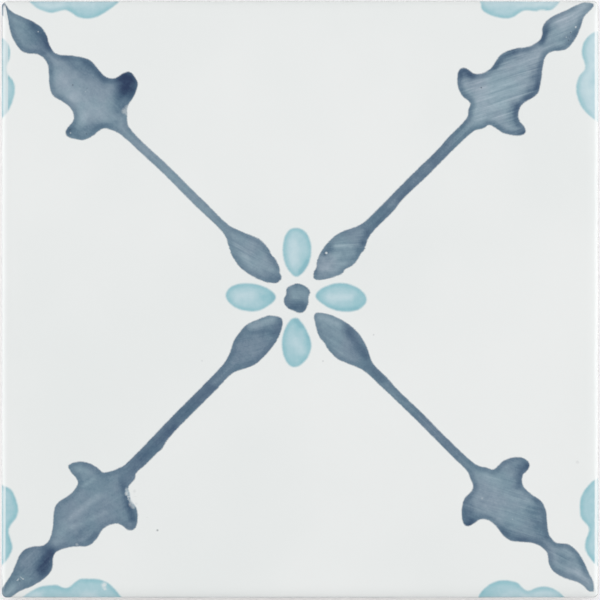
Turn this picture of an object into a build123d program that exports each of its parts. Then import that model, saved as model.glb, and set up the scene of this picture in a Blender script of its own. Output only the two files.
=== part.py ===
"""A hand-painted square wall tile: one piece of pressed and fired earthenware.

The tile lies on its back. The origin is the middle of the back, +Z points out of the glazed face
and +Y towards the top of the painted pattern. Sizes are in millimetres and angles in degrees.
"""

import os
from math import cos, radians, sin

from build123d import *

# The outline and the thickness, over the glaze.
tile_width = 130.0
tile_thickness = 10.0
corner_radius = 1.2

# The cushioned edge: the face rolls over in a quarter ellipse, wider than it is deep.
cushion_width = 3.0
cushion_depth = 1.2
cushion_corner_gain = 0.9
cushion_sections = 5

# The relief: the lower part of each side leans in, so that only the land above it meets a joint.
relief_height = 3.6
relief_inset = 0.45

# The key: shallow square pockets pressed into the back, where the adhesive takes hold. As many
# stand side by side as leave a border at least one rib wide all round.
key_pocket = 10.5
key_rib = 4.0
key_depth = 0.8
key_corner_radius = 1.2
key_draft = 20.0

# What follows from the sizes above.
land_top = tile_thickness - cushion_depth
key_pitch = key_pocket + key_rib
back_width = tile_width - 2 * relief_inset
key_count = int((back_width - key_rib) / key_pitch)


def cushion_section(turn):
    """The inset from the outline and the height of the rolled edge, a turn up from the land."""
    inset = cushion_width * (1 - cos(radians(turn)))
    height = land_top + cushion_depth * sin(radians(turn))
    return inset, height


with BuildPart() as tile:
    # The slab, with its upright land.
    with BuildSketch() as outline:
        RectangleRounded(tile_width, tile_width, corner_radius)
    extrude(amount=land_top)

    # The relief below the land is one long bevel all round the back.
    back = tile.faces().sort_by(Axis.Z)[0]
    chamfer(back.edges(), length=relief_inset, length2=relief_height, reference=back)

    # The cushioned edge, lofted through ever smaller squares up to the flat of the face.
    for section in range(cushion_sections + 1):
        inset, height = cushion_section(90 * section / cushion_sections)
        square = tile_width - 2 * inset
        with BuildSketch(Plane.XY.offset(height)):
            RectangleRounded(square, square, corner_radius + inset * cushion_corner_gain)
    loft()

    # The key on the back, with drafted walls so that it leaves the press.
    with BuildSketch() as key:
        with GridLocations(key_pitch, key_pitch, key_count, key_count):
            RectangleRounded(key_pocket, key_pocket, key_corner_radius)
    extrude(amount=key_depth, taper=key_draft, mode=Mode.SUBTRACT)

tile.part.label = "tile"

os.makedirs("parts", exist_ok=True)
export_step(tile.part, "parts/tile.step")
print("tile volume, cubic centimetres:", round(tile.part.volume / 1000, 2))
print("tile size:", tile.part.bounding_box().size, "key pockets each way:", key_count)
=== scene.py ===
# %% [markdown]
# A hand-painted wall tile
#
# The real tile is one slab of pressed and fired earthenware, dipped in a white glaze and painted
# by hand before its last firing. So it is one piece here too: one closed mesh, with the glaze, the
# paint and the bare clay as one material that changes from place to place. It could be a plain
# box with a picture on it, but the rolled edge, the glaze that ends part way down the sides and
# the pockets on the back are what make a tile look real from any side, so all of that is modelled.

# %% The frame
from math import cos, pi, radians, sin

import bmesh
import bpy
import numpy as np
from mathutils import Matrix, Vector, noise


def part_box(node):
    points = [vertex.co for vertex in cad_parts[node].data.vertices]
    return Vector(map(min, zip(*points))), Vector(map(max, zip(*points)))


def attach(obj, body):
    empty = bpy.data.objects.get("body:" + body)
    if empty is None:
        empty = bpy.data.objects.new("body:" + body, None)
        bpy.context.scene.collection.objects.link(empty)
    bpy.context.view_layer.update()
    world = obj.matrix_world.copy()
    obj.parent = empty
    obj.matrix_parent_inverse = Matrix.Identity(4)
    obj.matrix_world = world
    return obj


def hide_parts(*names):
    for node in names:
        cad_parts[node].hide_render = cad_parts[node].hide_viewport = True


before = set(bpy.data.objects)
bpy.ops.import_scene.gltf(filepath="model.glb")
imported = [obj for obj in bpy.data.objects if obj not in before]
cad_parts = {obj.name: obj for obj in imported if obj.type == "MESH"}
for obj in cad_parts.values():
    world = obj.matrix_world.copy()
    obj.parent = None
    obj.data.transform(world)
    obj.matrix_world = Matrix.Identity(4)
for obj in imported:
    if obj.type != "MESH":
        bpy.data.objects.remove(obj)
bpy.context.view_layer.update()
mm = 0.001

tile_low, tile_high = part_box("tile")
tile_width = (tile_high.x - tile_low.x) / mm
tile_thickness = (tile_high.z - tile_low.z) / mm
print(f"the tile is {tile_width:.1f} mm square and {tile_thickness:.1f} mm thick")

# %% [markdown]
# The camera and the light
#
# The photograph looks straight down on the tile from far away, with a long lens, and the tile
# fills the picture. The pale bands along the left and right edges are the mirror images of two
# long soft lights that stand on the floor, one on each side. The rolled edge at the top and bottom
# has nothing bright to mirror, so it only darkens. Setting the same two lights gives the same
# bands on the glaze; over the paint they are a painted highlight, set out further on. A third soft
# light hangs overhead. It is kept out of the mirror images, because the photograph shows none of
# it on the glaze.

# %% The camera
photo_pixels = 600
tile_pixels = 598
tile_middle_pixel = (300.0, 299.4)
camera_height = 900.0

mm_per_pixel = tile_width / tile_pixels
picture_width = photo_pixels * mm_per_pixel
aim_x = (photo_pixels / 2 - tile_middle_pixel[0]) * mm_per_pixel
aim_y = (tile_middle_pixel[1] - photo_pixels / 2) * mm_per_pixel
camera_place = (aim_x * mm, aim_y * mm, (tile_thickness + camera_height) * mm)

bpy.ops.object.select_all(action="DESELECT")
bpy.ops.object.camera_add(location=camera_place, rotation=(0, 0, 0))
camera = bpy.context.object
camera.data.sensor_width = 36.0
camera.data.lens = camera.data.sensor_width * camera_height / picture_width
camera.data.clip_start = 0.05
camera.data.clip_end = 20.0
bpy.context.scene.camera = camera
print(f"a {camera.data.lens:.0f} mm lens takes in {picture_width:.2f} mm")

# %% The floor, the lights and the sky, in metres
floor_size = 6.0
side_distance = 0.85
side_height = 0.63
side_length = 1.7
left_brightness = 1.68
right_brightness = 1.95
key_place = (-0.02, 0.12, 1.2)
key_size = 1.0
key_brightness = 3.1
sky_strength = 0.2
sky_colour = (0.98, 0.99, 1.0, 1.0)


def soft_light(name, place, aim, width, height, brightness):
    """A soft light at a place, that faces another. Its brightness is that of its panel."""
    bpy.ops.object.light_add(type="AREA", location=place)
    light = bpy.context.object
    light.name = name
    light.rotation_euler = (Vector(aim) - Vector(place)).to_track_quat("-Z", "Y").to_euler()
    light.data.shape = "RECTANGLE"
    light.data.size, light.data.size_y = width, height
    light.data.energy = brightness * pi * width * height
    return light


for name, side, brightness in (("left_light", -1, left_brightness), ("right_light", 1, right_brightness)):
    beside = (side * side_distance, 0, side_height / 2)
    soft_light(name, beside, (0, 0, side_height / 2), side_length, side_height, brightness)
key_light = soft_light("key_light", key_place, (0, 0, 0), key_size, key_size, key_brightness)
key_light.visible_glossy = False

bpy.ops.mesh.primitive_plane_add(size=floor_size)
floor = bpy.context.object
floor.name = "floor"

world = bpy.data.worlds.new("studio")
world.use_nodes = True
sky = world.node_tree.nodes["Background"]
sky.inputs["Color"].default_value = sky_colour
sky.inputs["Strength"].default_value = sky_strength
bpy.context.scene.world = world
bpy.context.scene.view_settings.view_transform = "Standard"

# %% [markdown]
# The slab and its rolled edge
#
# In the press the clay takes a rounded square outline, the lower part of each side leans in, and
# the face rolls over in a quarter ellipse. Bevelling a box can't do it, because the corners grow
# rounder as the edge rolls in. So the slab is lofted as a boatbuilder would: flat rounded squares
# at their heights, bridged to each other one after the other.

# %% Sizes of the slab, in millimetres
corner_radius = 1.2
relief_height = 3.6
relief_inset = 0.45
cushion_width = 3.0
cushion_depth = 1.2
cushion_corner_gain = 0.9
cushion_steps = 9
land_rings = 12
relief_rings = 3

side_long_parts = 4
side_short_parts = 59
corner_parts = 12

land_top = tile_thickness - cushion_depth
hair = 0.001 * mm
print(f"the upright land reaches up to {land_top:.1f} mm")


# %% Helpers for choosing and joining loops
def start_piece(name):
    """An empty mesh in edit mode, ready for its first loop."""
    bpy.ops.object.select_all(action="DESELECT")
    bpy.ops.mesh.primitive_plane_add(size=mm)
    piece = bpy.context.object
    piece.name = name
    bpy.ops.object.mode_set(mode="EDIT")
    bpy.ops.mesh.select_mode(type="EDGE")
    bpy.ops.mesh.select_all(action="SELECT")
    bpy.ops.mesh.delete(type="VERT")
    return piece


def choose_edges(wanted):
    """Selects the edges of the mesh in edit mode that a rule picks, and no others."""
    bpy.ops.mesh.select_all(action="DESELECT")
    shape = bmesh.from_edit_mesh(bpy.context.edit_object.data)
    chosen = [edge for edge in shape.edges if wanted(edge)]
    for edge in chosen:
        edge.select_set(True)
    bmesh.update_edit_mesh(bpy.context.edit_object.data)
    return chosen


def is_level(edge, height):
    """True if an edge lies at that height."""
    return all(abs(vert.co.z - height * mm) < hair for vert in edge.verts)


def rounded_square(square, radius, height):
    """A flat rounded square of loose edges, cut finely enough to carry the painting."""
    bpy.ops.mesh.select_all(action="DESELECT")
    bpy.ops.mesh.primitive_plane_add(size=square * mm, location=(0, 0, height * mm))
    bpy.ops.mesh.bevel(affect="VERTICES", offset=radius * mm, segments=corner_parts)
    bpy.ops.mesh.delete(type="ONLY_FACE")
    straight = (square / 2) * mm
    choose_edges(lambda edge: is_level(edge, height) and edge.calc_length() > straight)
    bpy.ops.mesh.subdivide(number_cuts=side_long_parts - 1)
    bpy.ops.mesh.subdivide(number_cuts=side_short_parts - 1)


def bridge(lower, upper, rings):
    """A band of faces between the loops at two heights, in as many rings."""

    def at_end(edge):
        return len(edge.link_faces) < 2 and (is_level(edge, lower) or is_level(edge, upper))

    choose_edges(at_end)
    bpy.ops.mesh.bridge_edge_loops(number_cuts=rings - 1, interpolation="LINEAR")


# %% The loops, from the back to the face
tile = start_piece("painted_tile")
rounded_square(tile_width - 2 * relief_inset, corner_radius - relief_inset, 0.0)
rounded_square(tile_width, corner_radius, relief_height)
loop_heights = [0.0, relief_height]
for step in range(cushion_steps + 1):
    turn = radians(90 * step / cushion_steps)
    inset = cushion_width * (1 - cos(turn))
    height = land_top + cushion_depth * sin(turn)
    rounded_square(tile_width - 2 * inset, corner_radius + inset * cushion_corner_gain, height)
    loop_heights.append(height)

band_rings = [relief_rings, land_rings] + [1] * cushion_steps
for lower, upper, rings in zip(loop_heights, loop_heights[1:], band_rings):
    bridge(lower, upper, rings)
print("faces round the sides:", len(bmesh.from_edit_mesh(tile.data).faces))

# %% [markdown]
# The face
#
# The flat of the face could be one big polygon, but the painting is stored on the points of the
# mesh, so it needs a fine even net. Grid Fill weaves one across the last loop. It starts from the
# active point, which is set to the middle of a rounded corner, so that the net is symmetrical.

# %% The net across the face
choose_edges(lambda edge: is_level(edge, tile_thickness))
shape = bmesh.from_edit_mesh(tile.data)
corner = max((vert for vert in shape.verts if vert.select), key=lambda vert: vert.co.x + vert.co.y)
shape.select_history.clear()
shape.select_history.add(corner)
bpy.ops.mesh.fill_grid(span=side_long_parts * side_short_parts + corner_parts)
bpy.ops.object.mode_set(mode="OBJECT")
print("faces with the net:", len(tile.data.polygons))

# %% [markdown]
# The keyed back
#
# The back is pressed into a key, a field of shallow pockets that the adhesive fills. One cell of
# the field is modelled by hand, with its drafted pocket and softened rim, and two arrays repeat
# it. The plain border between the field and the edge is then filled in.

# %% Sizes of the key
key_pocket = 10.5
key_rib = 4.0
key_depth = 0.8
key_corner_radius = 1.2
key_draft = 20.0
key_rim = 0.22

key_pitch = key_pocket + key_rib
key_count = int((tile_width - 2 * relief_inset - key_rib) / key_pitch)
key_floor = key_pocket - 2 * key_depth * sin(radians(key_draft)) / cos(radians(key_draft))
pocket_taper = key_floor / key_pocket
print("pockets each way:", key_count)

# %% One cell of the key
bpy.ops.object.select_all(action="DESELECT")
first_cell = -key_pitch * (key_count - 1) / 2 * mm
cell_middle = (first_cell, first_cell, 0)
bpy.ops.mesh.primitive_plane_add(size=key_pitch * mm, location=cell_middle)
cell = bpy.context.object
bpy.ops.object.mode_set(mode="EDIT")
bpy.ops.mesh.select_mode(type="FACE")
bpy.ops.mesh.inset(thickness=key_rib / 2 * mm)
bpy.ops.mesh.extrude_region_move(TRANSFORM_OT_translate={"value": (0, 0, key_depth * mm)})
bpy.ops.transform.resize(value=(pocket_taper, pocket_taper, 1), center_override=cell_middle)
bpy.ops.mesh.select_mode(type="EDGE")
choose_edges(lambda edge: abs(edge.verts[0].co.z - edge.verts[1].co.z) > key_depth / 2 * mm)
bpy.ops.mesh.bevel(offset=key_corner_radius * mm, segments=4, affect="EDGES")


def is_rim(edge):
    """True for the edges between the rib and the walls of the pocket."""
    walls = [face for face in edge.link_faces if abs(face.normal.z) < 0.9]
    return len(walls) == 1 and all(abs(vert.co.z) < hair for vert in edge.verts)


choose_edges(is_rim)
bpy.ops.mesh.bevel(offset=key_rim * mm, segments=2, affect="EDGES")
bpy.ops.object.mode_set(mode="OBJECT")
print("faces in one cell:", len(cell.data.polygons))

# %% The field of cells
for direction in ((key_pitch * mm, 0, 0), (0, key_pitch * mm, 0)):
    array = cell.modifiers.new("row", "ARRAY")
    array.count = key_count
    array.use_relative_offset = False
    array.use_constant_offset = True
    array.constant_offset_displace = direction
    array.use_merge_vertices = True
    array.merge_threshold = 10 * hair
    bpy.ops.object.modifier_apply(modifier=array.name)
print("faces in the field:", len(cell.data.polygons))

# %% The border of the back
bpy.ops.object.select_all(action="DESELECT")
cell.select_set(True)
tile.select_set(True)
bpy.context.view_layer.objects.active = tile
bpy.ops.object.join()
bpy.ops.object.mode_set(mode="EDIT")
bpy.ops.mesh.select_mode(type="EDGE")
choose_edges(lambda edge: len(edge.link_faces) == 1)
bpy.ops.mesh.fill(use_beauty=True)
bpy.ops.mesh.select_all(action="SELECT")
bpy.ops.mesh.remove_doubles(threshold=hair)
bpy.ops.mesh.normals_make_consistent(inside=False)
print("faces with the back:", len(bmesh.from_edit_mesh(tile.data).faces))

# %% The softened arris of the back
back_arris = 0.3
choose_edges(lambda edge: is_level(edge, 0.0) and edge.calc_face_angle(0.0) > radians(45))
bpy.ops.mesh.bevel(offset=back_arris * mm, segments=2, affect="EDGES")
shape = bmesh.from_edit_mesh(tile.data)
open_edges = sum(len(edge.link_faces) != 2 for edge in shape.edges)
bpy.ops.object.mode_set(mode="OBJECT")
print("faces in all:", len(tile.data.polygons), "open edges:", open_edges)

# %% [markdown]
# Where the glaze stops
#
# The tile was held by its back and dipped, so the glaze runs part way down the sides and ends in
# a wavy line with a few runs below it. The glaze is about a fifth of a millimetre thick, so the
# bare clay below the line stands back by that much. A vertex group marks the bare clay, and a
# Displace modifier pulls it in. Two more Displace modifiers give the slab the slight waves of
# pressed clay. All three only ever pull inwards, so the tile keeps its outside size.

# %% The places of the points, in millimetres
def point_places(piece):
    """The places of the points of a piece, in millimetres, one row each."""
    places = np.empty(len(piece.data.vertices) * 3, np.float32)
    piece.data.vertices.foreach_get("co", places)
    return places.reshape(-1, 3).astype(float) / mm


def ramp(low, high, value):
    """Rises smoothly from 0 at low to 1 at high."""
    share = np.clip((value - low) / (high - low), 0.0, 1.0)
    return share * share * (3.0 - 2.0 * share)


# %% The glaze line
glaze_line = 4.4
glaze_waves = ((0.75, 0.055, 3.0), (0.4, 0.21, 41.0), (0.22, 0.6, 77.0))
glaze_runs = ((-38.0, -65.0, 1.9), (21.0, -65.0, 2.6), (65.0, -12.0, 2.2), (65.0, 44.0, 1.5),
              (9.0, 65.0, 2.4), (-47.0, 65.0, 1.4), (-65.0, 27.0, 2.0), (-65.0, -31.0, 1.6))
run_half_width = 2.1
side_margin = 1.5
well_below = -5.0


def glaze_above(places):
    """How far up from the glaze line each point lies, in millimetres. The back is well below it."""
    line = np.full(len(places), glaze_line)
    for size, pace, seed in glaze_waves:
        line += size * np.array([noise.noise(Vector((x * pace, y * pace, seed))) for x, y, z in places])
    for x, y, length in glaze_runs:
        away = np.hypot(places[:, 0] - x, places[:, 1] - y)
        line -= length * np.exp(-((away / run_half_width) ** 2))
    return places[:, 2] - line


places = point_places(tile)
glaze_in = glaze_above(places)
on_side = np.abs(places[:, :2]).max(axis=1) > tile_width / 2 - side_margin
glaze_in = np.where(on_side | (places[:, 2] > land_top), glaze_in, well_below)
print(f"the glaze covers {100 * (glaze_in > 0).mean():.0f}% of the points")

# %% A pull inwards
def displace(piece, name, strength, weights, wave_length=None):
    """Pulls the points of a piece inwards by their weights, in waves where it has a wave length."""
    group = piece.vertex_groups.new(name=name)
    for level in range(1, 11):
        near = np.flatnonzero(np.round(weights * 10) == level)
        group.add([int(i) for i in near], level / 10, "REPLACE")
    pull = piece.modifiers.new(name, "DISPLACE")
    pull.vertex_group = name
    pull.strength = strength * mm
    # The modifier adds its texture less this level. Clouds end at 1, and no texture counts as 1.
    pull.mid_level = 1.0 if wave_length else 2.0
    if wave_length:
        waves = bpy.data.textures.new(name, "CLOUDS")
        waves.noise_scale = wave_length * mm
        pull.texture = waves
        pull.texture_coords = "LOCAL"
    bpy.ops.object.modifier_apply(modifier=name)
    piece.vertex_groups.clear()


# %% The waves of the pressed clay and the lip of the glaze
glaze_thickness = 0.17
lip_half_width = 0.25
face_wave = {"height": 0.05, "length": 34.0}
side_wave = {"height": 0.16, "length": 11.0}
smooth_angle = 28

# The waves of the sides fade out towards the back, which stays flat, and those of the face fade
# out down the land.
back_fade = (0.3, 1.6)
face_fade = (land_top - 2.0, land_top + 1.0)
off_back = ramp(*back_fade, places[:, 2])
side_weight = np.where(on_side, off_back * (1 - ramp(land_top, tile_thickness, places[:, 2])), 0.0)
face_weight = ramp(*face_fade, places[:, 2])
bare_weight = np.where(on_side, off_back * (1 - ramp(-lip_half_width, lip_half_width, glaze_in)), 0.0)
bpy.context.view_layer.objects.active = tile
displace(tile, "side_wave", side_wave["height"], side_weight, side_wave["length"])
displace(tile, "face_wave", face_wave["height"], face_weight, face_wave["length"])
displace(tile, "bare_clay", glaze_thickness, bare_weight)
bpy.ops.object.shade_smooth_by_angle(angle=radians(smooth_angle))
places = point_places(tile)
print("the waved tile reaches", places.min(axis=0).round(3), places.max(axis=0).round(3))

# %% [markdown]
# The drawing
#
# The ornament is the old diagonal trellis of painted wall tiles: four arms in slate blue, each a
# bud, a stem, a horned finial and an outer bud, round a flower of four aqua petals, with half
# flowers that the next tiles complete. It is drawn here as a painter sets it out, by outlines
# through a few points each. No two strokes are alike, so each arm has its own outline.
#
# A texture image would be the usual way. Here each point of the mesh instead stores how deep it
# lies inside the paint. The shader cuts the paint where that depth is zero, which gives an edge
# much finer than the mesh, and it knows how near the edge is, which darkens the rims.

# %% The arms, outwards along the left side and back along the right
# Millimetres along the diagonal from the middle of the tile, and across it, left being positive.
arms = {
    45: [(5.25, 0.8), (5.6, 1.5), (6.2, 2.05), (7.1, 2.3), (8.9, 3.53), (11.2, 4.3), (13.4, 4.55),
         (15.3, 4.45), (17.3, 3.85), (19.5, 2.8), (21.6, 2.1), (24.5, 1.98), (36, 2.03), (45, 1.97),
         (48, 2.2), (52.5, 2.17), (54.1, 2.5), (55.1, 3.3), (56.4, 4.0), (56.4, 5.2), (56.3, 6.4),
         (57, 8.4), (58.4, 10.0), (59.4, 10.7), (60.3, 10.85), (61.0, 10.4), (61.4, 9.3), (61.55, 8.1),
         (62.3, 7.2), (63.6, 6.5), (65.2, 6.25), (66.8, 6.55), (68.3, 6.85), (70, 6.45), (72, 5.4),
         (74, 3.85), (75.4, 3.3), (77, 3.1), (78, 3.5), (79.2, 4.6), (81, 4.95), (83, 4.6), (85.2, 3.7),
         (88, 2.75), (89.2, 2.25), (90.35, 1.15), (90.85, 0.15), (89.6, -0.2), (87.3, -0.25), (86.2, -0.8),
         (83.8, -1.9), (81.7, -2.45), (79.7, -2.55), (78.5, -1.95), (77.2, -0.8), (75.9, -0.4),
         (74.8, -0.6), (72.6, -2.1), (70, -4.05), (68.4, -4.9), (66.8, -4.8), (64.6, -4.25), (63.2, -4.5),
         (61.9, -5.4), (61.3, -6.5), (61.2, -8.0), (60.6, -9.0), (59.7, -9.05), (58.3, -7.9), (56.9, -5.75),
         (56.4, -3.4), (55.9, -2.2), (54.6, -2.0), (53.0, -1.0), (51.5, -0.75), (45, -0.6), (39, -0.62),
         (30.6, -0.45), (28.6, -0.78), (22, -0.82), (20, -1.13), (17.6, -2.25), (16.1, -2.42),
         (14.6, -2.87), (13.2, -2.87), (11.5, -2.35), (10.5, -2.6), (8.8, -1.85), (6.9, -0.8), (5.6, 0.2)],
    135: [(5.95, 0.1), (6.15, 1.13), (7.1, 2.05), (9.1, 3.22), (11.4, 3.95), (13.7, 4.28), (15.6, 4.15),
          (17.7, 3.6), (19.6, 2.62), (21.2, 1.8), (23.5, 1.54), (30.7, 1.74), (41, 1.72), (46, 1.92),
          (51.4, 2.15), (53.6, 2.4), (55, 2.95), (56.5, 3.9), (56.9, 5.25), (57.1, 7.0), (57.9, 8.9),
          (59, 9.75), (60, 10.45), (61.1, 10.8), (62, 10.3), (62.3, 9.0), (62.5, 7.4), (63.4, 6.4),
          (65.2, 5.9), (67, 6.15), (69.1, 6.7), (70.4, 6.4), (72, 5.3), (74, 3.45), (75.4, 2.55),
          (77, 2.35), (78.4, 2.85), (80, 4.25), (81.4, 4.65), (83.75, 4.3), (85.6, 3.6), (87.2, 2.5),
          (88.5, 2.15), (89.5, 2.1), (90.7, 2.6), (92.0, 1.75), (91.5, 0.4), (91.2, -0.18), (90.5, -0.1),
          (89.6, 0.1), (87.75, -0.25), (85.5, -1.15), (83.5, -1.8), (81.8, -2.15), (79.8, -1.75),
          (78.0, -0.75), (75.9, -0.25), (74.8, -0.65), (72.75, -2.4), (70.25, -4.1), (68.9, -4.6),
          (66.25, -4.4), (64.2, -4.4), (62.75, -5.4), (62.1, -7.5), (61.5, -8.75), (60.6, -9.0),
          (58.2, -8.3), (57.35, -7.0), (56.7, -5.4), (56.4, -3.7), (55.85, -2.65), (54.95, -1.8),
          (53.6, -0.55), (51.8, -0.1), (46.8, -0.08), (42.9, -0.3), (30.7, -0.37), (22, -0.6), (20, -1.33),
          (17.5, -2.4), (15.4, -3.1), (13.8, -3.18), (12.2, -2.9), (11.2, -2.5), (10.1, -2.5), (8.2, -1.85),
          (6.9, -0.9), (6.1, -0.6)],
    225: [(5.64, 0.1), (6.3, 1.0), (8.0, 2.1), (10.15, 2.87), (12.4, 3.2), (15.2, 3.32), (17.1, 3.08),
          (19.2, 2.2), (20.8, 1.35), (22.2, 0.95), (26.15, 1.03), (38.3, 1.05), (42.0, 1.25), (44.2, 1.78),
          (45.5, 1.7), (49.5, 1.7), (51.9, 1.55), (53.1, 2.28), (55.3, 2.5), (56.1, 3.75), (56.95, 5.0),
          (57.1, 6.5), (57.8, 7.8), (59.1, 9.1), (60.4, 9.85), (61.4, 9.75), (62.05, 9.0), (62.25, 7.5),
          (62.8, 6.3), (64.2, 5.4), (66, 5.05), (67.6, 5.5), (69.9, 5.6), (71.0, 5.1), (72.9, 3.25),
          (74.6, 2.15), (76.6, 1.4), (77.8, 1.8), (79.2, 3.1), (80.6, 3.6), (82.4, 3.65), (85, 3.1),
          (86.8, 2.35), (88.3, 1.75), (90.3, 1.45), (91.7, 0.9), (92.2, -0.3), (91.3, -1.15), (88.7, -1.8),
          (86.5, -2.25), (84.2, -3.2), (82.2, -3.9), (80.6, -3.85), (79, -2.95), (77.4, -1.7), (75.8, -1.6),
          (73.6, -2.7), (71.5, -4.5), (69.75, -5.75), (68.3, -6.05), (66.2, -5.55), (64.2, -5.45),
          (62.5, -5.95), (62.0, -7.0), (61.9, -8.8), (61.4, -10.1), (60.5, -10.0), (59, -9.1), (57.7, -7.4),
          (57.05, -5.25), (57.0, -3.8), (56, -3), (54, -2), (52.4, -1.56), (48, -1.5), (37.5, -1.7),
          (26.6, -1.74), (21.0, -2), (19, -2.67), (16.7, -3.8), (14.4, -4.3), (12.3, -4.4), (10.6, -3.9),
          (8.1, -2.8), (7.4, -2.5), (6.9, -1.95), (5.9, -0.6)],
    315: [(4.45, 0.3), (4.9, 0.92), (6.6, 2.15), (8.7, 3.04), (11.2, 3.7), (13.6, 3.88), (15.5, 3.65),
          (17.95, 2.87), (20, 1.8), (21.4, 1.38), (25.5, 1.42), (28.2, 1.2), (36, 1.34), (43.7, 1.3),
          (51.8, 1.6), (53.3, 2.0), (54.6, 2.9), (55.9, 3.5), (56.05, 4.8), (56.2, 6.7), (57.25, 8.7),
          (58.5, 9.85), (60, 10.25), (60.9, 9.9), (61.35, 9.0), (61.45, 7.2), (62.4, 6.1), (64, 5.55),
          (66, 5.75), (68, 6.1), (69.8, 5.7), (71, 4.95), (73, 3.25), (74.6, 2.2), (76.6, 1.95),
          (77.8, 2.7), (79, 3.65), (81, 3.95), (84, 3.4), (87, 2.25), (88.7, 1.75), (89.7, 0.9),
          (90.25, 0.3), (89.6, -0.45), (87.4, -0.5), (86, -1.0), (84, -2.05), (82.2, -2.7), (80.6, -2.9),
          (79, -2.4), (77.2, -1.1), (75.6, -0.95), (73.6, -1.6), (71.6, -3.2), (69.6, -4.75), (67.7, -5.1),
          (65, -4.75), (63, -5.05), (61.7, -6.1), (61.35, -7.6), (60.9, -9.0), (60, -9.45), (58.7, -8.85),
          (56.9, -7.1), (55.95, -5.3), (55.9, -3.4), (55.5, -2.2), (53.8, -1.4), (52.4, -0.8), (48, -0.78),
          (36, -0.73), (25.7, -0.95), (21.2, -1.15), (19, -1.8), (16.7, -2.77), (15.2, -3.4), (13.6, -3.5),
          (11.6, -3.35), (10.4, -2.97), (9.1, -2.95), (7.6, -2.35), (5.7, -1.2), (4.75, -0.5)],
}
print("points in the arms:", {turn: len(points) for turn, points in arms.items()})

# %% The dot and the flower in the middle, across and up from the middle of the tile
dot = [(-2.9, 2.5), (-1.9, 3.15), (-0.6, 3.53), (0.6, 3.2), (1.95, 2.3), (2.25, 1.5), (1.95, 0.6),
       (1.9, -0.7), (1.4, -2.0), (0.7, -2.85), (-0.2, -3.0), (-1.3, -2.6), (-2.7, -1.95), (-3.5, -0.95),
       (-3.55, 0.15), (-3.1, 1.0)]
petals = [
    [(-1, 15.67), (0.5, 15.35), (1.7, 14.2), (2.5, 11.9), (2.47, 9.6), (1.8, 7.4), (0.5, 5.55),
     (-0.75, 4.8), (-1.6, 5.2), (-2.9, 6.8), (-3.75, 9.3), (-3.8, 11.95), (-3.3, 13.9), (-2.3, 15.25)],
    [(-0.7, -3.9), (0.1, -4.5), (1.6, -6.8), (2.55, -9.6), (2.2, -11.8), (1.0, -13.7), (-0.2, -14.6),
     (-1.3, -14.84), (-2.5, -14.35), (-3.6, -12.4), (-4.05, -9.9), (-3.8, -7.6), (-2.9, -5.4),
     (-1.8, -4.1)],
    [(-16.26, 1.02), (-15.6, 2.4), (-13.9, 3.35), (-11.2, 3.6), (-8.4, 3.1), (-6.3, 2.05), (-5.2, 0.8),
     (-5.3, -0.05), (-6.9, -1.5), (-9.2, -2.6), (-11.6, -2.65), (-13.8, -2.0), (-15.4, -0.9), (-16.1, 0.1)],
    [(3.28, 0.9), (3.8, 1.85), (5.6, 2.95), (8.3, 3.68), (10.84, 3.4), (13, 2.35), (14.4, 0.9),
     (14.55, -0.5), (13.2, -2.1), (11.2, -2.72), (8.6, -2.68), (6.2, -1.9), (4.3, -0.65), (3.4, 0.2)],
]
print("petals:", len(petals))

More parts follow.
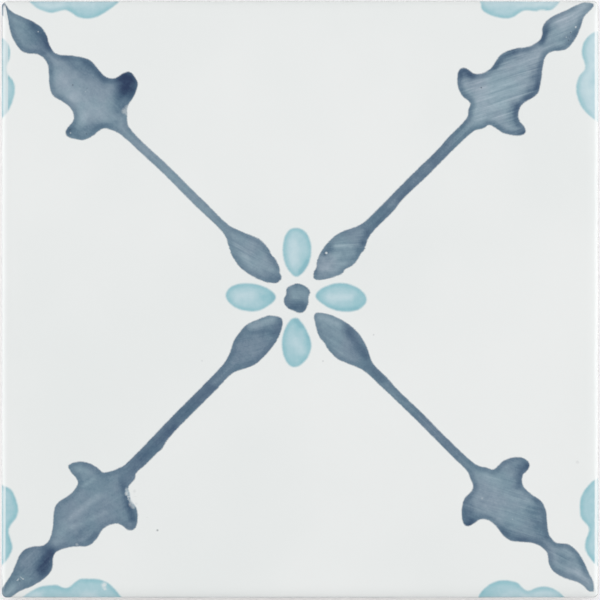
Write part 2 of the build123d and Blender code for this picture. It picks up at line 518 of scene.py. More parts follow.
# %% The half flowers, whose strokes run over the edge of the tile and end a little below it
edge_flowers = [
    [(-60.2, 66.3), (-58.9, 64.7), (-57.5, 63.45), (-55.8, 62.7), (-54.3, 62.3), (-52.6, 62.6),
     (-51.2, 62.95), (-50.0, 62.45), (-48.5, 61.45), (-46.5, 61.05), (-44.6, 61.3), (-42.4, 62.4),
     (-40.6, 63.7), (-39.3, 64.95), (-38.5, 66.2), (-41.5, 67.3), (-46.5, 66.9), (-52.0, 67.6),
     (-57.0, 67.2)],
    [(38.9, 66.4), (39.3, 64.4), (39.5, 63.1), (41.2, 61.9), (43.4, 61.25), (45.4, 61.1), (46.8, 61.55),
     (48.2, 62.6), (49.6, 62.9), (51.2, 62.6), (52.9, 63.05), (54.1, 62.7), (55.5, 63.45), (56.5, 64.6),
     (57.2, 66.1), (53.5, 67.2), (48.0, 66.8), (43.0, 67.5)],
    [(-61.8, -66.4), (-60.7, -65), (-59, -63.7), (-56.6, -62.47), (-54.6, -62.15), (-52.8, -62.1),
     (-51.6, -62.7), (-50.6, -62.8), (-49.3, -61.7), (-47.9, -60.8), (-45.9, -60.75), (-43.8, -60.85),
     (-41.8, -61.65), (-40.1, -63.2), (-38.8, -64.9), (-37.9, -66.3), (-42.0, -67.4), (-48.0, -67.0),
     (-54.0, -67.7), (-59.0, -67.1)],
    [(39.2, -66.5), (38.9, -64.5), (39.6, -63.4), (41.2, -62), (43.3, -61.15), (45.6, -61.15),
     (47.4, -61.65), (48.7, -62.9), (49.7, -63.43), (51.0, -62.9), (53, -62.4), (55, -62.85), (56.8, -63.9),
     (57.7, -65), (58.1, -66.4), (54.0, -67.3), (48.5, -66.9), (43.0, -67.5)],
    [(-66.6, 57.6), (-64.1, 56.5), (-63.1, 54.7), (-63.1, 52.7), (-63.85, 50.6), (-63.5, 48.9),
     (-62.3, 47.6), (-62, 45.3), (-62.5, 43.2), (-63.4, 41.1), (-64.3, 40.0), (-66.2, 38.7), (-67.5, 42.0),
     (-67.0, 47.5), (-67.6, 53.0)],
    [(-66.3, -40.2), (-64.2, -40.65), (-62.8, -41.4), (-61.8, -43.4), (-61.27, -45.7), (-61.7, -47.6),
     (-62.9, -49.1), (-63.4, -50.4), (-62.9, -52.3), (-62.5, -53.9), (-63.1, -55.7), (-64.3, -57.4),
     (-66.4, -59.0), (-67.4, -55.0), (-66.9, -50.0), (-67.6, -44.5)],
    [(66.5, 58.7), (64.0, 58.25), (62.6, 57.3), (61.5, 55.4), (61.3, 53.2), (61.9, 51.5), (62.0, 50.2),
     (60.9, 48.9), (60.15, 47.1), (60.15, 44.8), (61.0, 42.3), (62.4, 40.5), (64.1, 39.1), (66.2, 38.3),
     (67.4, 42.0), (66.9, 48.0), (67.6, 54.0)],
    [(66.4, -38.8), (64.1, -39.3), (62.4, -40.8), (61.1, -43.0), (60.85, -45.3), (61.1, -47.5),
     (62.1, -48.8), (62.95, -49.8), (62.7, -51.0), (62.0, -52.8), (62.15, -54.9), (63.2, -56.5),
     (64.2, -57.7), (66.3, -58.9), (67.5, -54.5), (66.9, -49.0), (67.5, -43.5)],
]
print("half flowers:", len(edge_flowers))


# %% A smooth outline through its points
outline_step = 0.3
batch_size = 3000


def smooth_outline(points):
    """A closed curve that runs smoothly through the points, as small straight steps."""
    knots = np.array(points, float)
    around = len(knots)
    curve = []
    for i in range(around):
        before, start, end, after = (knots[(i + k) % around] for k in (-1, 0, 1, 2))
        a, b, c = (np.linalg.norm(run) ** 0.5 for run in (start - before, end - start, after - end))
        leave = b * ((start - before) / a - (end - before) / (a + b) + (end - start) / b)
        arrive = b * ((end - start) / b - (after - start) / (b + c) + (after - end) / c)
        steps = max(2, round(b * b / outline_step))
        t = np.arange(steps)[:, None] / steps
        curve.append((2 * t**3 - 3 * t**2 + 1) * start + (t**3 - 2 * t**2 + t) * leave
                     + (3 * t**2 - 2 * t**3) * end + (t**3 - t**2) * arrive)
    return np.concatenate(curve)


def depth_inside(x, y, outline):
    """How far each point lies inside an outline. Outside, it is less than nothing."""
    run = np.roll(outline, -1, axis=0) - outline
    run[run == 0] = 1e-9
    depth = np.empty(len(x))
    for batch in np.array_split(np.arange(len(x)), max(1, len(x) // batch_size)):
        px = x[batch, None] - outline[:, 0]
        py = y[batch, None] - outline[:, 1]
        near = np.clip((px * run[:, 0] + py * run[:, 1]) / (run**2).sum(axis=1), 0.0, 1.0)
        gap = np.hypot(px - near * run[:, 0], py - near * run[:, 1]).min(axis=1)
        crosses = (py < 0) != (py < run[:, 1])
        inside = (crosses & (px < run[:, 0] * py / run[:, 1])).sum(axis=1) % 2
        depth[batch] = np.where(inside, gap, -gap)
    return depth


print("steps round the dot:", len(smooth_outline(dot)))

# %% Helpers for painting an outline on the mesh
far_outside = -3.0
above_back = places[:, 2] > 1.0


def paint_shape(depths, x, y, points):
    """Adds one painted shape to the depths stored so far, and says how many points it covers."""
    outline = smooth_outline(points)
    low, high = outline.min(axis=0) + far_outside, outline.max(axis=0) - far_outside
    near = np.flatnonzero(above_back & (x > low[0]) & (x < high[0]) & (y > low[1]) & (y < high[1]))
    depth = depth_inside(x[near], y[near], outline)
    depths[near] = np.maximum(depths[near], depth)
    return int((depth > 0).sum())


def arm_frame(turn, x, y):
    """The places of points along an arm and across it."""
    c, s = cos(radians(turn)), sin(radians(turn))
    return c * x + s * y, c * y - s * x


print("points that can be painted:", int(above_back.sum()))

# %% The place of every point on the drawing
# The outlines are a hair too large, which the drawing size takes back. Below the rolled edge, a
# point counts as lying as far past the edge as it is down the side.
drawing_size = 0.9983
least_reach = 1e-6
core = tile_width / 2 - corner_radius
outwards = places[:, :2] - np.clip(places[:, :2], -core, core)
reach = np.maximum(np.hypot(outwards[:, 0], outwards[:, 1]), least_reach)
down_side = np.maximum(land_top - places[:, 2], 0.0)
x, y = ((places[:, :2] + outwards * (down_side / reach)[:, None]) / drawing_size).T
print(f"the drawing reaches {np.abs(x).max():.1f} mm from its middle")

# %% The outlines painted on the mesh
slate_in = np.full(len(places), far_outside)
aqua_in = np.full(len(places), far_outside)
for turn, outline in arms.items():
    along, across = arm_frame(turn, x, y)
    print("arm at", turn, "degrees:", paint_shape(slate_in, along, across, outline), "points")
print("dot:", paint_shape(slate_in, x, y, dot), "points")
for outline in petals + edge_flowers:
    paint_shape(aqua_in, x, y, outline)
print("aqua:", int((aqua_in > 0).sum()), "points")

# %% [markdown]
# How the paint lies
#
# The slate colour is a thin wash, laid on with a soft brush and then sealed into the glaze. Where
# the brush left it thin it is pale, where it pooled it is nearly navy, and it is darker along its
# rims. The painter fills each part of an arm with strokes in one direction, and the hairs of the
# brush leave streaks that way. So each point also stores a tone, from 0 for thin to 1 for thick,
# and its place along and across the stroke that covers it, which the shader turns into streaks.
# The large pools are set out as dabs, each a soft line from one place to another. Where a brush
# starts dry, its hairs fray the edge of the paint, so a point stores how much of that there is.

# %% The parts of an arm, from the middle outwards
# For each part: where it starts and ends along the arm, the direction of its strokes in degrees
# counter-clockwise from the right, how streaky it is, how thick the paint is, and how much
# thicker it is along its rim.
arm_parts = {
    45: [(3, 21, 5, 0.6, 0.42, 0.09), (21, 54, 45, 0.4, 0.52, 0.10), (54, 75.5, 17, 0.95, 0.27, 0.30),
         (75.5, 93, 24, 0.8, 0.38, 0.18)],
    135: [(3, 21, 152, 0.6, 0.42, 0.13), (21, 54, 135, 0.4, 0.34, 0.08), (54, 75.5, 140, 0.2, 0.38, 0.17),
          (75.5, 93, 135, 0.25, 0.46, 0.12)],
    225: [(3, 21, 193, 0.35, 0.54, 0.10), (21, 54, 225, 0.5, 0.56, 0.07), (54, 75.5, 30, 0.18, 0.48, 0.08),
          (75.5, 93, 225, 0.3, 0.53, 0.06)],
    315: [(3, 21, 325, 0.35, 0.45, 0.09), (21, 54, 315, 0.4, 0.50, 0.08), (54, 75.5, 343, 0.5, 0.39, 0.20),
          (75.5, 93, 333, 0.6, 0.40, 0.14)],
}

# %% Dabs of thicker and thinner slate
# From one place to another, along and across the arm, then half the width, and how much thicker.
arm_dabs = {
    45: [(11, 3.1, 13, 3.2, 0.8, 0.2), (12, -2.0, 16, -2.0, 0.8, 0.05), (18.5, -0.8, 20.5, -0.2, 0.8, 0.12),
         (6.4, 1.8, 7, 2.1, 0.8, 0.1), (7.6, 1.6, 9.0, 0.4, 0.6, -0.2), (9.2, -0.6, 12.5, -1.6, 0.6, -0.12),
         (13.5, 3, 16, 0.4, 0.5, -0.16), (10, 1.0, 12.5, 1.0, 0.7, -0.1), (16.5, -1, 18, -1, 0.8, 0.12),
         (21, 0.5, 27, 0.5, 1.2, 0.12), (8.6, 2.4, 9.6, 2.6, 0.7, -0.12), (59.9, 9.4, 60.5, 8.2, 1.2, 0.36),
         (66, 5.4, 71, 5.2, 0.9, 0.22), (61.4, -3.9, 63.0, -3.2, 1.2, 0.3),
         (60.2, -5.2, 60.0, -6.6, 0.7, 0.14), (66, -3.6, 70, -3.2, 1.1, 0.26),
         (71, -1.6, 72.8, -0.8, 0.9, 0.13), (68, -2.2, 69.5, -2.4, 0.7, 0.1),
         (69.8, -1.6, 71.5, -0.6, 0.8, 0.12), (88.4, 1.9, 90.3, 1.3, 0.5, -0.22),
         (70.5, 3.8, 73, 2.8, 0.8, 0.12), (60.9, -5.5, 60.9, -6.5, 0.8, 0.06),
         (60.8, -7.2, 60.8, -7.6, 0.6, -0.08), (59.9, -8, 60.4, -8.8, 0.7, 0.2),
         (77, 2.4, 79.8, 3.6, 0.9, 0.22), (80.6, -0.6, 83, -1.0, 0.9, 0.13), (83, 2.4, 89, 0.9, 1.5, -0.18),
         (31, 0.2, 34, 0.3, 0.9, 0.1), (42, 0.9, 46, 0.9, 0.9, 0.08), (56, 1, 60, 2, 2.2, -0.07)],
    135: [(59.3, -5.9, 60.3, -6.9, 2.3, 0.66), (57.0, -1.3, 58.8, -3.2, 1.4, 0.22),
          (55.4, 1.0, 56.6, 2.8, 0.7, 0.12), (67, -1.2, 74, -1, 1.0, 0.12),
          (64, -3.4, 69.3, -3.2, 1.4, 0.24), (77.5, -0.6, 83, -0.6, 1.5, 0.27),
          (6.5, 0.2, 8.0, 0.6, 0.8, 0.12), (9, 0.2, 15.5, 2, 0.6, -0.1), (57.6, 4, 60.0, 8.4, 1.1, 0.17),
          (61.2, 9.0, 61.4, 9.8, 0.9, 0.2), (61, 5.6, 61.6, 5.0, 1.0, -0.12), (66, 4.2, 71, 2.6, 1.3, -0.1),
          (13, 2.4, 15, 2, 0.8, -0.08), (8.5, 0.6, 9.5, 0.8, 0.8, 0.1), (60, 2.6, 66, 3.2, 1.6, -0.07),
          (78, 1.2, 80.5, 1.8, 1.0, 0.08), (90.6, 0.0, 91.2, 0.2, 0.4, 0.1),
          (89.6, 2.2, 91.4, 1.5, 0.5, -0.35), (83, 0.4, 88, 0.6, 1.0, -0.07)],
    225: [(58.2, 5.6, 59.6, 7.8, 0.9, 0.28), (55.4, 0.4, 57.9, 4.2, 0.8, 0.18),
          (67.8, 4.6, 69.4, 4.6, 0.7, 0.12), (77.6, 0.4, 81.4, 1.9, 1.5, 0.42),
          (27, -0.2, 38, -0.4, 0.8, 0.15), (39.5, 0.2, 49, 0.2, 1.0, 0.2), (50.5, 0.1, 54, 0.3, 1.0, 0.1),
          (7.0, -1.2, 11.8, -3.6, 0.9, -0.26), (59.5, -6.2, 60.2, -8.0, 0.9, -0.14),
          (9.8, -0.2, 12.9, -2.9, 0.5, 0.1), (13, -0.2, 16.5, -1.2, 0.9, -0.06),
          (88.6, 0.3, 90.4, 0.2, 0.9, -0.2), (61.1, -0.85, 68.9, -1.6, 0.7, -0.14),
          (59.3, -4.0, 62.4, -4.7, 0.35, -0.12), (62.7, 2.9, 70.1, 0.0, 0.5, -0.13),
          (71, -1, 75, -0.6, 1.2, -0.1), (56.0, 2.9, 57.3, 6.3, 0.4, -0.5), (8.5, 0.9, 9.6, 0.9, 0.7, 0.12),
          (66, 1.6, 71, 2.4, 1.2, 0.06)],
    315: [(59.6, 8.4, 60.8, 9.6, 0.9, 0.25), (58.8, 6.8, 60.4, 7.2, 0.9, 0.15),
          (60.3, 6.2, 60.6, 5.4, 0.7, 0.12), (59.2, -6.8, 60.6, -8.4, 1.3, 0.27),
          (61.8, 5.4, 62.4, 4.6, 0.8, 0.15), (68.5, 3.4, 73.5, 0.6, 1.7, 0.2),
          (67, -3.6, 71.5, -2.6, 1.3, 0.2), (57, -4.6, 58, -5.4, 0.9, 0.1),
          (12.6, 2.4, 18.8, 1.4, 1.0, 0.22), (11.2, 2.5, 13, 2.3, 0.8, 0.07), (16, 0.6, 18, 0.6, 1.0, 0.1),
          (84.5, 1.2, 89, 0.6, 1.3, -0.14), (79, 0.8, 81, 0.8, 0.9, 0.1), (20, 0.2, 25, 0.3, 0.9, 0.14),
          (5.8, 0.5, 9.5, 2.2, 1.0, -0.17), (56.5, 1.5, 59, 1.5, 1.6, -0.08), (63.5, 5, 66, 5, 0.8, -0.09),
          (67.6, 5.2, 69.5, 4.0, 0.7, 0.1), (84, 2.4, 86, 1.6, 0.8, 0.1)],
}
dot_dabs = [(-1.6, -1.4, 0.4, -1.5, 1.2, 0.2), (-1.4, 0.6, 0.0, 0.4, 0.7, -0.08),
            (-1.6, 1.8, 1.2, 1.6, 0.8, -0.1), (1.2, 0.6, 1.2, -0.4, 0.6, -0.1)]
print("dabs of slate:", sum(len(dabs) for dabs in arm_dabs.values()) + len(dot_dabs))

# %% Dabs of thicker and thinner aqua, across and up from the middle
aqua_dabs = [
    (-1.4, 8.5, -1.4, 12.5, 1.2, -0.3), (1.6, 8, 0.2, 6.2, 0.8, 0.33), (-1.2, 14.4, -0.8, 14.4, 0.7, -0.12),
    (-13.5, 0.8, -10.5, 0.9, 1.1, -0.25), (-14, -0.8, -12, -1.2, 0.7, -0.08),
    (-7.9, 0.4, -6, 0.6, 0.9, 0.3), (6.6, 0.4, 10.8, 0.6, 0.9, -0.3), (4.2, 0.9, 5, 0.9, 0.8, 0.12),
    (7, -1.9, 12, -1.9, 0.7, 0.12), (12.2, -0.8, 12.6, 0.2, 0.9, 0.2), (-1.2, -9.2, 0.2, -11, 1.0, -0.22),
    (-0.8, -5, -0.2, -6, 0.8, 0.3), (-1.6, -13.4, -0.2, -12.8, 0.8, 0.14), (1.2, -10, 1.4, -8, 0.7, 0.12),
    (-58, 64, -52, 64.2, 1.3, -0.34), (-49, 64.4, -45, 64.4, 1.0, -0.26),
    (-43.5, 64.4, -41, 64.6, 0.9, -0.14), (39.5, 64.8, 46, 64.6, 1.1, -0.26),
    (48, 64.2, 56, 64.4, 1.3, -0.38), (43, 62.5, 46, 62.4, 0.9, -0.12), (-60, -64.6, -57, -64.2, 1.0, -0.3),
    (-47, -64.4, -45, -64.4, 1.0, -0.28), (40, -64.4, 42, -64, 0.9, 0.14),
    (45, -64.4, 48, -63.6, 1.0, -0.2), (49, -64.4, 56, -64, 1.1, -0.27), (64, 58, 63.5, 51, 1.6, -0.34),
    (62.3, 48.5, 61.8, 45.5, 1.6, -0.3), (63.5, 45, 63.6, 39.5, 1.4, -0.3),
    (-63, 46.5, -62.8, 44.5, 0.9, -0.12), (-62.6, -46.5, -63.6, -49, 0.9, 0.1),
    (-63.5, -53, -63.4, -55, 0.8, 0.08), (63.8, -50, 63.8, -52, 0.8, -0.12),
]
print("dabs of aqua:", len(aqua_dabs))


# %% Tones in the dot, the petals and the half flowers
dot_tone, dot_streaky, dot_rim, dot_fray = 0.49, 0.6, 0.06, 0.4
aqua_tone_between = 0.6


def dab(x, y, x0, y0, x1, y1, half_width, amount):
    """A soft line of thicker or thinner paint."""
    run_x, run_y = x1 - x0, y1 - y0
    near = np.clip(((x - x0) * run_x + (y - y0) * run_y) / (run_x**2 + run_y**2), 0.0, 1.0)
    gap = np.hypot(x - x0 - near * run_x, y - y0 - near * run_y)
    return amount * np.exp(-((gap / half_width) ** 2))


slate_tone = np.full(len(places), dot_tone)
aqua_tone = np.full(len(places), aqua_tone_between)
streaky = np.full(len(places), dot_streaky)
slate_rim = np.full(len(places), dot_rim)
fray = np.full(len(places), dot_fray)
stroke = np.column_stack((x, y, np.zeros(len(places))))
for shape_dab in dot_dabs:
    slate_tone += dab(x, y, *shape_dab)
for shape_dab in aqua_dabs:
    aqua_tone += dab(x, y, *shape_dab)
print(f"tones of the aqua: {aqua_tone[aqua_in > 0].min():.2f} to {aqua_tone[aqua_in > 0].max():.2f}")

# %% Tones and strokes in the arms
bud_fray = {45: 0.4, 135: 0.35, 225: 0.15, 315: 0.15}
bud_end, fray_past_bud = 21.0, 0.1
arm_start, arm_half_width = 4.0, 12.0
part_fade, part_shift = 1.2, 7.0

for turn, parts in arm_parts.items():
    along, across = arm_frame(turn, x, y)
    in_arm = (np.abs(across) < arm_half_width) & (along > arm_start)
    middles = [(start + end) / 2 for start, end, *_ in parts]
    tone = np.interp(along, middles, [part[4] for part in parts])
    rim = np.interp(along, middles, [part[5] for part in parts])
    for shape_dab in arm_dabs[turn]:
        tone += dab(along, across, *shape_dab)
    slate_tone = np.where(in_arm, tone, slate_tone)
    slate_rim = np.where(in_arm, rim, slate_rim)
    fray = np.where(in_arm, np.where(along < bud_end, bud_fray[turn], fray_past_bud), fray)
    for number, (start, end, direction, amount, _, _) in enumerate(parts):
        here = in_arm & (along >= start) & (along < end)
        from_ends = np.minimum(along - start, end - along)
        c, s = cos(radians(direction)), sin(radians(direction))
        streaky[here] = (amount * ramp(0, part_fade, from_ends))[here]
        stroke[here, 0] = (c * x + s * y)[here]
        stroke[here, 1] = (c * y - s * x)[here]
        stroke[here, 2] = turn + part_shift * number
print(f"paint thicker than halfway: {100 * (slate_tone[slate_in > 0] > 0.5).mean():.0f}% of the slate")

# %% The painted shade line on the outermost edge
# A fine grey line of painted shade runs along the sharp outer edge here and there, where the steep
# rolled edge mirrors the dark low surroundings. It is set out in dabs too. Each ends with how
# clearly the line shows.
arris_shade_dabs = [
    (-64.9, 63.0, -64.9, 48.0, 2.0, 0.75), (-64.0, 65.0, -38.0, 65.0, 2.0, 0.5),
    (-30.0, 65.0, 60.0, 65.0, 2.0, 0.2), (62.0, 65.0, 65.0, 62.0, 2.0, 0.45),
    (62.5, -65.0, 65.0, -62.5, 1.5, 0.6), (65.0, 57.0, 65.0, 54.0, 0.8, 0.5),
    (65.0, -51.5, 65.0, -52.5, 0.8, 0.5), (65.0, -61.0, 64.0, -65.0, 1.5, 0.3),
    (-64.0, -65.0, 64.0, -65.0, 2.0, 0.7), (-65.0, -61.5, -65.0, -64.0, 1.2, 0.55),
]
arris = np.zeros(len(places))
for edge_dab in arris_shade_dabs:
    arris = np.maximum(arris, dab(places[:, 0], places[:, 1], *edge_dab))
arris_inside, arris_outside = 0.32, 0.08
arris_fade_low, arris_fade_high = land_top - 1.2, land_top - 0.4
arris *= ramp(arris_inside, arris_outside, corner_radius - reach)
arris *= ramp(arris_fade_low, arris_fade_high, places[:, 2])
print(f"the line covers {(arris > 0.1).sum()} points")


# %% What each point stores
def store(piece, name, values):
    """Stores a number, or a vector, on every point of a piece."""
    kind, field = ("FLOAT", "value") if values.ndim == 1 else ("FLOAT_VECTOR", "vector")
    attribute = piece.data.attributes.new(name, kind, "POINT")
    attribute.data.foreach_set(field, values.astype(np.float32).ravel())


point_values = {
    "slate_in": slate_in, "aqua_in": aqua_in, "glaze_in": glaze_in, "slate_tone": slate_tone,
    "slate_rim": slate_rim, "aqua_tone": aqua_tone, "streaky": streaky, "stroke": stroke,
    "fray": fray, "arris": arris,
}
for name, values in point_values.items():
    store(tile, name, values)
print("stored:", list(point_values))

# %% [markdown]
# Small faults
#
# A handmade tile is never clean. Gas leaves pinholes in the glaze, dirt burns to dark specks, and
# the paint flakes at an edge here and there. A few of the pale spots are painted glints instead,
# where a small dent in the glaze near the lower left corner mirrors the light. Each fault is a spot
# at its place, in millimetres from the middle, with a radius and a strength. The spots are finer
# than the mesh, so a point doesn't store their colour. It stores how far it is from the nearest
# spot, across and up, which stays exact between the points, and the shader draws the spot from that.

# %% Spots on the face
# Pale chips in the paint and glaze; the four spots near (-61, -61) are painted glints of a dent.
pale_chips_and_glints = [
    (-38.1, 40.95, 0.55, 0.4), (-37.5, 41.8, 0.4, 0.35), (-37.4, 40.2, 0.35, 0.3), (-37.7, -42.3, 0.3, 0.6),
    (-36.7, -43.8, 0.4, 0.5), (-36.9, -44.6, 0.3, 0.35), (-37.7, -41.3, 0.3, 0.3), (-36.3, -45.2, 0.3, 0.3),
    (59.95, 59.2, 0.17, 0.65), (5.72, 10.1, 0.21, 0.85), (-56.9, 58.2, 0.14, 0.4), (-49.9, 36.2, 0.14, 0.4),
    (39.6, -43.25, 0.2, 0.2), (46.2, -47.8, 0.12, 0.2), (-61.5, -60.9, 0.22, 0.6), (-60.9, -61.7, 0.2, 0.5),
    (-60.2, -60.8, 0.14, 0.5), (-61.0, -60.3, 0.13, 0.4), (-42.6, -62.1, 0.5, 0.85),
    (-42.4, -62.9, 0.3, 0.7), (-48.5, -53.3, 0.28, 0.25), (50.4, 55.9, 0.4, 0.25), (51.0, 56.3, 0.25, 0.2),
    (-46.6, 45.2, 0.12, 0.2), (57.9, 57.0, 0.12, 0.4),
]
dark_specks = [
    (39.4, 46.05, 0.14, 0.8), (-49.4, 46.6, 0.14, 0.5), (-36.0, -41.7, 0.3, 0.1), (-31.0, -50.2, 0.2, 0.5),
    (58.8, 58.0, 0.14, 0.45), (58.4, 56.3, 0.14, 0.45), (5.0, -13.4, 0.18, 0.2), (16.0, -7.67, 0.16, 0.2),
    (-21.3, -13.35, 0.16, 0.15), (60.3, -35.4, 0.3, 0.1), (-46.3, 45.9, 0.12, 0.3),
    (-60.9, -61.2, 0.16, 0.4), (-50.0, 36.9, 0.17, 0.5), (-46.4, 36.0, 0.13, 0.4),
    (-35.6, -44.4, 0.25, 0.08), (5.4, 9.75, 0.15, 0.4),
]


def store_spots(piece, name, faults):
    """Stores on every point the way from the nearest spot, its radius and its strength."""
    faults = np.array(faults)
    from_x = places[:, 0][:, None] - faults[:, 0]
    from_y = places[:, 1][:, None] - faults[:, 1]
    nearest = (np.hypot(from_x, from_y) - faults[:, 2]).argmin(axis=1)
    rows = np.arange(len(places))
    way = np.column_stack((from_x[rows, nearest], from_y[rows, nearest], faults[nearest, 2]))
    store(piece, name, way)
    store(piece, name + "_strength", np.where(above_back, faults[nearest, 3], 0.0))


store_spots(tile, "chip", pale_chips_and_glints)
store_spots(tile, "speck", dark_specks)
print("faults:", len(pale_chips_and_glints), "pale,", len(dark_specks), "dark")

# %% [markdown]
# Shader maths
#
# A finish is built from many small sums, such as how dark a rim is. In the node editor each sum
# is a node and a wire. Two small classes let them be written as plain expressions here: a Value
# stands for the output of a node, and a Recipe is the node tree of one material.


# %% The two classes
class Value:
    """The output of a node, with which sums can be written."""

    def __init__(self, recipe, socket):
        self.recipe, self.socket = recipe, socket

    def math(self, operation, first, second):
        return self.recipe.node("Math", {"operation": operation}, {0: first, 1: second})

    def __add__(self, other):
        return self.math("ADD", self, other)

    def __sub__(self, other):
        return self.math("SUBTRACT", self, other)

    def __rsub__(self, other):
        return self.math("SUBTRACT", other, self)

    def __mul__(self, other):
        return self.math("MULTIPLY", self, other)

    def __truediv__(self, other):
        return self.math("DIVIDE", self, other)

    __radd__ = __add__
    __rmul__ = __mul__

    def at_least(self, other):
        return self.math("MAXIMUM", self, other)

    def ramp(self, low, high):
        """Rises smoothly from 0 at low to 1 at high, or falls where high is below low."""
        settings = {"interpolation_type": "SMOOTHSTEP"}
        if low < high:
            return self.recipe.node("MapRange", settings, {"Value": self, "From Min": low, "From Max": high})
        return 1 - self.ramp(high, low)


class Recipe:
    """The node tree of a material."""

    def __init__(self, name):
        self.material = bpy.data.materials.new(name)
        self.material.use_nodes = True
        self.tree = self.material.node_tree
        self.tree.nodes.clear()

    def node(self, kind, settings=None, sockets=None, output=0):
        """Adds a node, with its settings first, then the values or links of its sockets."""
        made = self.tree.nodes.new("ShaderNode" + kind)
        for name, setting in (settings or {}).items():
            if name == "stops":
                while len(made.color_ramp.elements) < len(setting):
                    made.color_ramp.elements.new(1.0)
                for element, (position, shade) in zip(made.color_ramp.elements, setting):
                    element.position, element.color = position, shade
            else:
                setattr(made, name, setting)
        for name, given in (sockets or {}).items():
            if isinstance(given, Value):
                self.tree.links.new(given.socket, made.inputs[name])
            else:
                made.inputs[name].default_value = given
        return Value(self, made.outputs[output]) if made.outputs else None

    def stored(self, name, output="Fac"):
        """A number stored on the points of the mesh."""
        return self.node("Attribute", {"attribute_name": name}, output=output)

    def mix(self, share, first, second):
        """A colour between two colours."""
        return self.node("Mix", {"data_type": "RGBA"}, {0: share, 6: first, 7: second}, 2)


def colour(red, green, blue):
    """A colour as a picture shows it, from 0 to 255, as the light that a shader counts in."""
    light = [value / 255 / 12.92 if value < 10.3 else ((value / 255 + 0.055) / 1.055) ** 2.4
             for value in (red, green, blue)]
    return (*light, 1.0)


print(f"a grey of 128 in a picture is {colour(128, 128, 128)[0]:.2f} of white as light")

# %% [markdown]
# The glaze, the paint and the clay
#
# It is one material, since the real tile was fired as one thing. From the bottom up it is rough
# cream clay, white glaze, the two paints, a painted shade line along the outermost edge, and small
# faults of the kiln and the brush, with a few painted glints among them. White glaze isn't plain
# white: it is a little cooler or warmer from place to place.
# Each paint is a ramp of colours that its load, how thick it lies, picks from. All colours meet in
# one glossy surface, because the paint has sunk into the glaze.

# %% Places on the tile
glaze = Recipe("painted_glaze")
object_place = glaze.node("TexCoord", output="Object")
place_mm = glaze.node("VectorMath", {"operation": "SCALE"}, {0: object_place, "Scale": 1 / mm})


def clouds(scale, detail=2.0, roughness=0.5, vector=place_mm):
    """A cloudy noise about its middle, with patches of about 1 / scale millimetres."""
    sockets = {"Vector": vector, "Scale": scale, "Detail": detail, "Roughness": roughness}
    return glaze.node("TexNoise", {"noise_dimensions": "3D"}, sockets, "Fac") - 0.5


print("nodes to begin with:", len(glaze.tree.nodes))

# %% Paint that follows the hairs of the brush
stroke_place = glaze.stored("stroke", "Vector")


def brushed(along_scale, across_scale, detail, roughness):
    """Clouds drawn out along the stroke."""
    sockets = {"Vector": stroke_place, "Scale": (along_scale, across_scale, 1.0)}
    drawn_out = glaze.node("Mapping", {"vector_type": "POINT"}, sockets)
    return clouds(1.0, detail, roughness, drawn_out)


long_streaks = brushed(0.10, 0.95, 2.0, 0.55)
fine_streaks = brushed(0.22, 3.1, 1.0, 0.5)
hair_lines = brushed(0.08, 1.5, 1.0, 0.5).ramp(0.07, 0.2)
streaks = long_streaks * 0.70 + fine_streaks * 0.30 - hair_lines * 0.16
print("nodes with the streaks:", len(glaze.tree.nodes))

# %% Paint that lies unevenly
patches = clouds(0.9, 3.0, 0.6)
wobble = patches * 0.24 + clouds(3.2, 1.0, 0.5) * 0.16
mottle = clouds(0.35, 3.0, 0.6)
grains = clouds(2.1, 3.0, 0.65)
print("nodes with the patches:", len(glaze.tree.nodes))

# %% The slate paint
slate_depth = glaze.stored("slate_in") + wobble + streaks * glaze.stored("fray")
slate_cover = slate_depth.ramp(-0.16, 0.24)
near_rim = slate_depth.ramp(1.7, 0.5)
# The marks of the bristles show less along the rim, where the paint pooled.
bristles = streaks * glaze.stored("streaky") * (0.75 - near_rim * 0.35)
slate_load = (glaze.stored("slate_tone") + near_rim * glaze.stored("slate_rim") + bristles
              + mottle * 0.2 + patches * 0.16 + grains * 0.16)
slate_stops = [
    (0.00, colour(174, 191, 202)), (0.22, colour(150, 169, 182)), (0.42, colour(125, 147, 162)),
    (0.60, colour(97, 121, 140)), (0.78, colour(71, 95, 119)), (1.00, colour(43, 60, 90)),
]
slate_by_load = glaze.node("ValToRGB", {"stops": slate_stops}, {"Fac": slate_load})
cool_tint, warm_tint = (0.97, 1.0, 0.98, 1.0), (1.07, 1.0, 0.995, 1.0)
slate_tint = glaze.mix(clouds(0.16, 2.0, 0.5).ramp(-0.2, 0.2), cool_tint, warm_tint)
tinting = {"data_type": "RGBA", "blend_type": "MULTIPLY"}
slate_colour = glaze.node("Mix", tinting, {0: 1.0, 6: slate_by_load, 7: slate_tint}, 2)
print("nodes with the slate:", len(glaze.tree.nodes))

# %% The aqua paint
aqua_depth = glaze.stored("aqua_in") + wobble * 0.8
aqua_cover = aqua_depth.ramp(-0.2, 0.4)
aqua_rim = aqua_depth.ramp(1.5, 0.35)
aqua_load = (glaze.stored("aqua_tone") + aqua_rim * 0.24 + mottle * 0.35 + clouds(0.9, 2.0, 0.5) * 0.2
             + grains * 0.15)
aqua_stops = [
    (0.00, colour(206, 223, 227)), (0.35, colour(188, 212, 219)), (0.60, colour(169, 202, 210)),
    (0.85, colour(150, 193, 202)), (1.00, colour(138, 184, 195)),
]
aqua_colour = glaze.node("ValToRGB", {"stops": aqua_stops}, {"Fac": aqua_load})
print("nodes with the aqua:", len(glaze.tree.nodes))

# %% Painted highlight: where the paint fades out over the rolled edge
# A band of painted highlight runs up the left side and one up the right, where the side lights are
# mirrored in the rolled edge: in it the paint fades to the white glaze. Each starts and ends a little
# way in from its edge. All ramps are between two places in millimetres, in from an edge or up from the
# middle.
left_outer, left_inner = (0.3, 0.6), (1.36, 1.16)
right_outer, right_inner = (0.1, 0.3), (1.0, 0.82)
above_bottom, below_top = (-63.4, -60.8), (64.5, 63.3)
left_lean, narrows_above, narrowing = 0.006, 60.5, 0.2
right_highlight_strength = 0.75

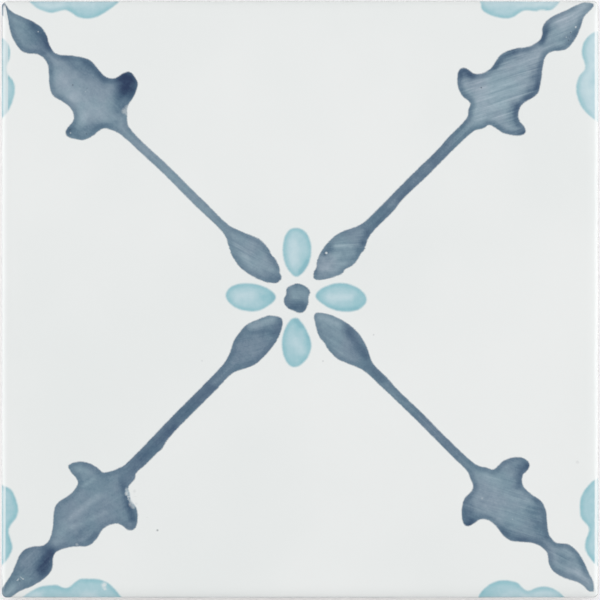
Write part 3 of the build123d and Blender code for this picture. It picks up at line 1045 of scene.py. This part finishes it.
sideways = glaze.node("SeparateXYZ", None, {"Vector": place_mm}, "X")
up = glaze.node("SeparateXYZ", None, {"Vector": place_mm}, "Y")
from_left = sideways + tile_width / 2 + wobble * 0.5
from_right = tile_width - from_left + wobble
near_top = (up - narrows_above).at_least(0.0) * narrowing
left_highlight_shape = (from_left - up * left_lean + near_top).ramp(*left_inner) * from_left.ramp(*left_outer)
# The painted highlight on the left is faint at the bottom, stronger along the side and strongest at the top.
left_highlight_strength = up.ramp(57.5, 59.5) * 0.35 + up.ramp(-61.0, -54.0) * 0.3 + 0.25
left_painted_highlight = left_highlight_shape * left_highlight_strength * up.ramp(*below_top)
right_painted_highlight = from_right.ramp(*right_inner) * from_right.ramp(*right_outer) * right_highlight_strength
painted_highlight_band = left_painted_highlight.at_least(right_painted_highlight) * up.ramp(*above_bottom)
paint_outside_highlight = 1 - painted_highlight_band
print("nodes with the thin bands:", len(glaze.tree.nodes))

# %% White glaze under the paint
cool_white, warm_white = colour(230, 233, 232), colour(234, 236, 235)
arris_shade_grey = colour(122, 126, 130)
white_glaze = glaze.mix(clouds(0.028, 2.0, 0.5).ramp(-0.25, 0.25), cool_white, warm_white)
# Painted highlight: inside the bands the paint gives way to the white glaze.
painted = glaze.mix(aqua_cover * paint_outside_highlight, white_glaze, aqua_colour)
painted = glaze.mix(slate_cover * paint_outside_highlight, painted, slate_colour)
# Painted shade: a grey line along the outermost edge.
painted = glaze.mix(glaze.stored("arris"), painted, arris_shade_grey)
print("nodes with the white glaze:", len(glaze.tree.nodes))

# %% The small faults on top of the paint
chip_and_glint_white, speck_blue = colour(222, 227, 228), colour(52, 62, 78)
ragged = clouds(2.6, 2.0, 0.6) * 1.2


def spots(name):
    """How much of the surface the nearest spot of a kind covers, from 0 to 1."""
    place = glaze.stored(name, "Vector")
    across = glaze.node("VectorMath", {"operation": "MULTIPLY"}, {0: place, 1: (1.0, 1.0, 0.0)})
    away = glaze.node("VectorMath", {"operation": "LENGTH"}, {0: across}, "Value")
    radius = glaze.node("SeparateXYZ", None, {"Vector": place}, "Z")
    return (away / radius + ragged).ramp(1.8, 0.3) * glaze.stored(name + "_strength")


# Pale chips, with a few painted glints among them.
painted = glaze.mix(spots("chip"), painted, chip_and_glint_white)
painted = glaze.mix(spots("speck"), painted, speck_blue)
print("nodes with the faults:", len(glaze.tree.nodes))

# %% Bare clay below the glaze line
dark_clay, pale_clay = colour(218, 209, 196), colour(235, 229, 219)
clay_roughness, glaze_roughness = 0.85, 0.05
clay_colour = glaze.mix(clouds(2.2, 4.0, 0.7).ramp(-0.3, 0.3), dark_clay, pale_clay)
glaze_depth = glaze.stored("glaze_in") + clouds(0.8, 3.0, 0.6) * 0.5
glazed = glaze_depth.ramp(-0.06, 0.06)
surface = glaze.mix(glazed, clay_colour, painted)
roughness = glazed * (glaze_roughness - clay_roughness) + clay_roughness
grain = clouds(5.0, 3.0, 0.7) * (1 - glazed) * 0.12
ripple = clouds(0.16, 2.0, 0.5) * glazed * 0.06
bump = glaze.node("Bump", None, {"Height": grain + ripple, "Strength": 1.0, "Distance": mm})
print("nodes with the clay:", len(glaze.tree.nodes))

# %% The finished material
finish_sockets = {"Base Color": surface, "Roughness": roughness, "Normal": bump, "IOR": 1.5}
finish = glaze.node("BsdfPrincipled", None, finish_sockets)
glaze.node("OutputMaterial", None, {"Surface": finish})
tile.data.materials.clear()
tile.data.materials.append(glaze.material)
print("nodes in the glaze:", len(glaze.tree.nodes))

# %% The floor
floor_white = colour(250, 251, 253)
floor_paint = Recipe("pale_floor")
floor_finish = floor_paint.node("BsdfPrincipled", None, {"Base Color": floor_white, "Roughness": 0.8})
floor_paint.node("OutputMaterial", None, {"Surface": floor_finish})
floor.data.materials.append(floor_paint.material)
print("the floor is", floor.data.materials[0].name)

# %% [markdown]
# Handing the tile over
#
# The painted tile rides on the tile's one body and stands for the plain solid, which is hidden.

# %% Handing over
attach(tile, "root")
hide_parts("tile")
